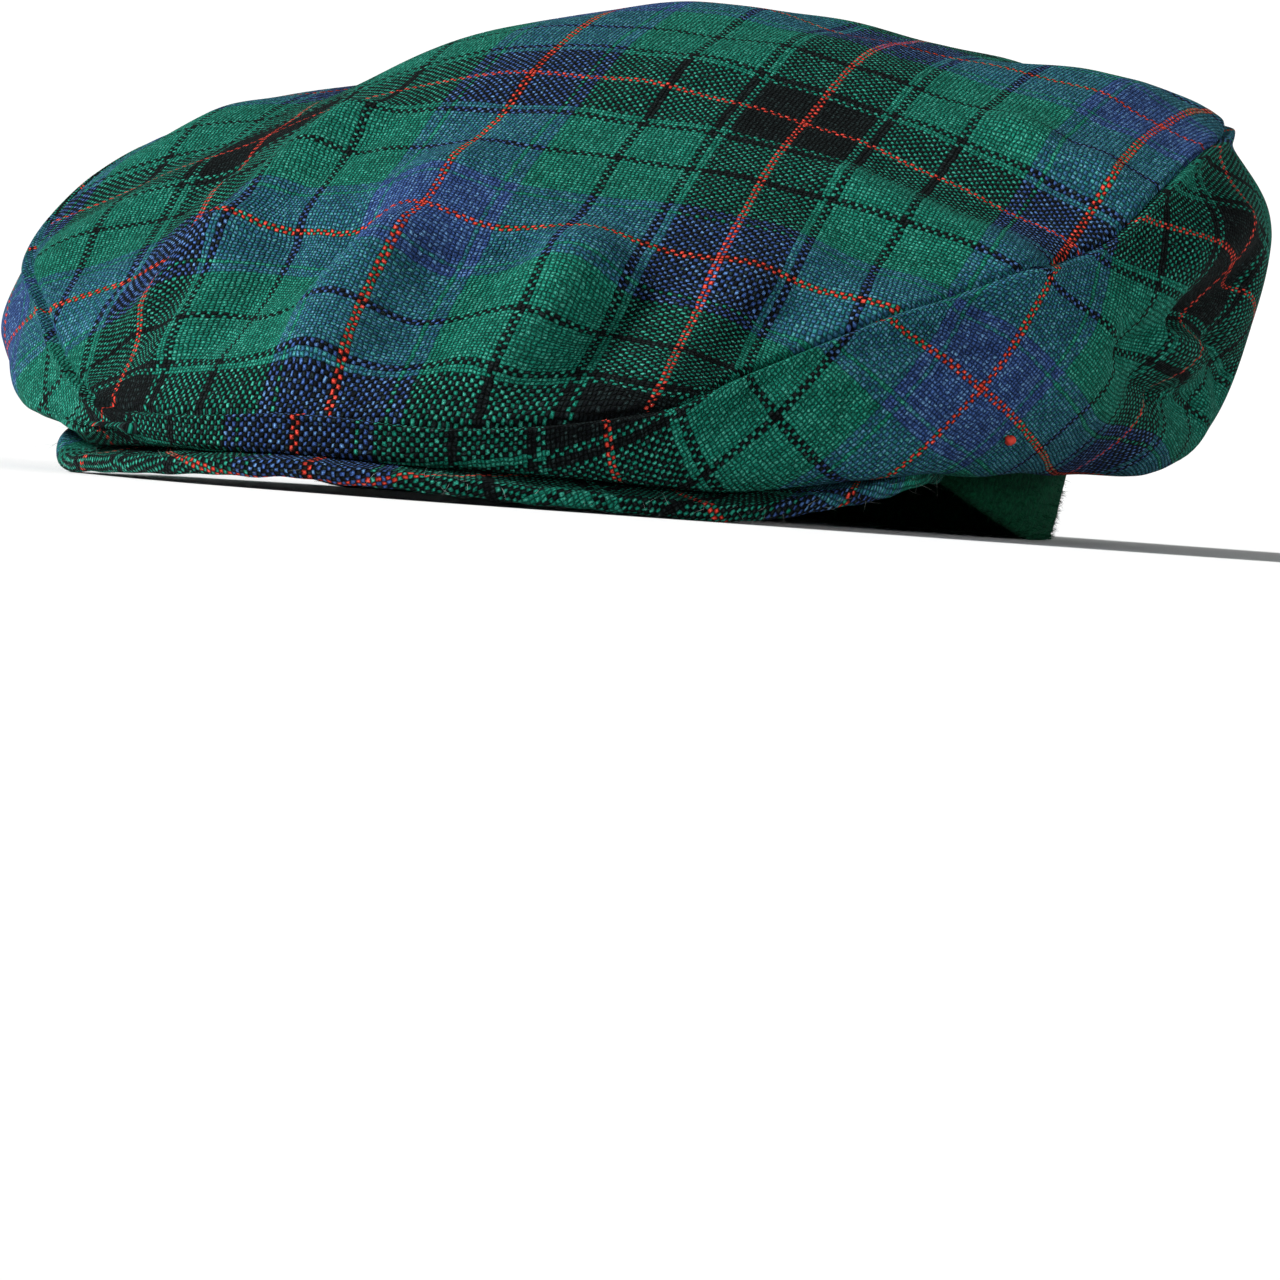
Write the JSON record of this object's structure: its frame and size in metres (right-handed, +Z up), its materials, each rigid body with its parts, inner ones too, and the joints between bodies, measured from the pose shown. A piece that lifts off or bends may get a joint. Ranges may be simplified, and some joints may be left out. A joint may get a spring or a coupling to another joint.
{
  "type": "flat cap",
  "caption": "Soft cloth flat cap with a full rounded crown, a teardrop top panel, a short stiff peak and a fleece band over the ears and nape.",
  "frame": {"origin": "on the surface the cap rests on, under the middle of its overall length and width", "axes": "+Z up, -Y forwards along the peak, +X towards the wearer's left"},
  "size_m": [0.2541, 0.28, 0.1051],
  "materials": {
    "tartan": "plain-woven wool",
    "fleece": "brushed fleece"
  },
  "bodies": {
    "root": {"crown_top": "tartan", "crown_side": "tartan", "peak": "tartan", "ear_band": "fleece"}
  },
  "joints": []
}
